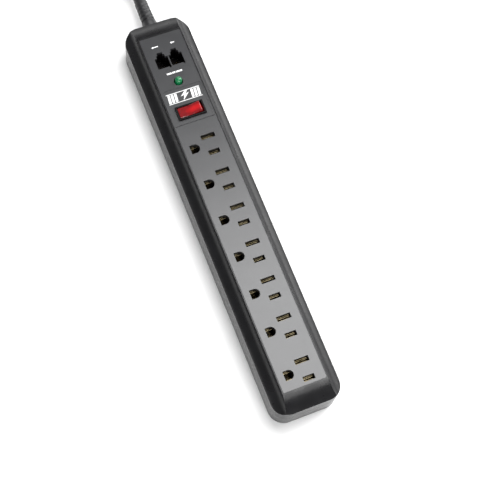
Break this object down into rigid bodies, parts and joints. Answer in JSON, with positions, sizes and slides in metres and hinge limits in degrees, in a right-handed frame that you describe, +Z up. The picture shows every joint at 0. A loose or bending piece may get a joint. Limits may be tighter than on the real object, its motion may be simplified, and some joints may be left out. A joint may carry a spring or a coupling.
{
  "type": "power strip",
  "caption": "Slim surge-protected power strip with a row of grounded outlets, a lit rocker switch, phone jacks, a status light and a captive cord with its plug.",
  "frame": {"origin": "centre of the casing on its underside, which is the plane that the strip stands on", "axes": "+X across the strip, from the ground holes towards the blade slots; +Y along it, towards the cord end; +Z up, out of the face"},
  "size_m": [0.0832, 0.5449, 0.0456],
  "materials": {
    "casing": "moulded black plastic with a fine texture",
    "casing_top": "moulded black plastic, satin",
    "face": "charcoal grey plastic with a fine spark texture",
    "print_white": "white marks printed on the face",
    "carrier": "unpainted insulating moulding",
    "fishpaper": "fish paper insulator",
    "brass": "stamped brass strip",
    "switch_black": "glossy black nylon",
    "rocker_red": "translucent red, lit from inside",
    "nylon": "white nylon",
    "spring_steel": "spring wire",
    "lamp_glass": "neon lamp glass",
    "resistor": "lacquered",
    "copper": "copper alloy",
    "board": "green solder resist",
    "varistor": "blue epoxy coating",
    "fuse": "ceramic coating",
    "ferrite": "sintered ferrite",
    "capacitor": "moulded box",
    "light_green": "translucent green lens",
    "gold_wire": "gold-plated spring wire",
    "wire_black": "vinyl insulation",
    "wire_white": "vinyl insulation",
    "wire_green": "vinyl insulation",
    "screw_steel": "zinc-plated steel",
    "cord_vinyl": "black vinyl jacket, satin",
    "tie_strap": "black hook-and-loop strap",
    "plated_brass": "nickel-plated brass"
  },
  "bodies": {
    "strip": {"bottom_case": "casing", "top_case": "casing_top", "face_plate": "face", "contact_carrier": "carrier", "insulator_sheet": "fishpaper", "line_bus": "brass", "neutral_bus": "brass", "ground_bus": "brass", "switch_housing": "switch_black", "line_terminal": "brass", "load_terminal": "brass", "lamp_terminal": "brass", "circuit_board": "board", "surge_varistors": "varistor", "thermal_fuse": "fuse", "choke_core": "ferrite", "choke_winding": "copper", "filter_capacitor": "capacitor", "status_light": "light_green", "phone_jack_housing": "switch_black", "phone_contacts": "gold_wire", "phone_suppressors": "ferrite", "supply_wire": "wire_black", "load_wire": "wire_black", "neutral_wire": "wire_white", "ground_wire": "wire_green", "case_screws": "screw_steel", "carrier_screws": "screw_steel", "board_screws": "screw_steel", "strain_relief": "cord_vinyl", "power_cord": "cord_vinyl", "cord_hank": "cord_vinyl", "hank_tie": "tie_strap", "cord_tail": "cord_vinyl", "plug_body": "cord_vinyl", "plug_blades": "plated_brass", "plug_ground_pin": "plated_brass"},
    "rocker": {"rocker": "rocker_red", "rocker_plunger": "nylon", "plunger_spring": "spring_steel", "neon_lamp": "lamp_glass", "lamp_resistor": "resistor"},
    "contact_arm": {"contact_arm": "copper"}
  },
  "joints": [
    {"name": "rocker_hinge", "type": "hinge", "parent": "strip", "child": "rocker", "pos_m": [0, 0.0746, 0.032], "axis": [0, 1, 0], "range_deg": [0, 20]},
    {"name": "contact_arm_pivot", "type": "hinge", "parent": "strip", "child": "contact_arm", "pos_m": [0, 0.0746, 0.024], "axis": [0, 1, 0], "range_deg": [-14, 0]}
  ],
  "couplings": [
    {"joint": "contact_arm_pivot", "follows": "rocker_hinge", "ratio": -0.7}
  ]
}
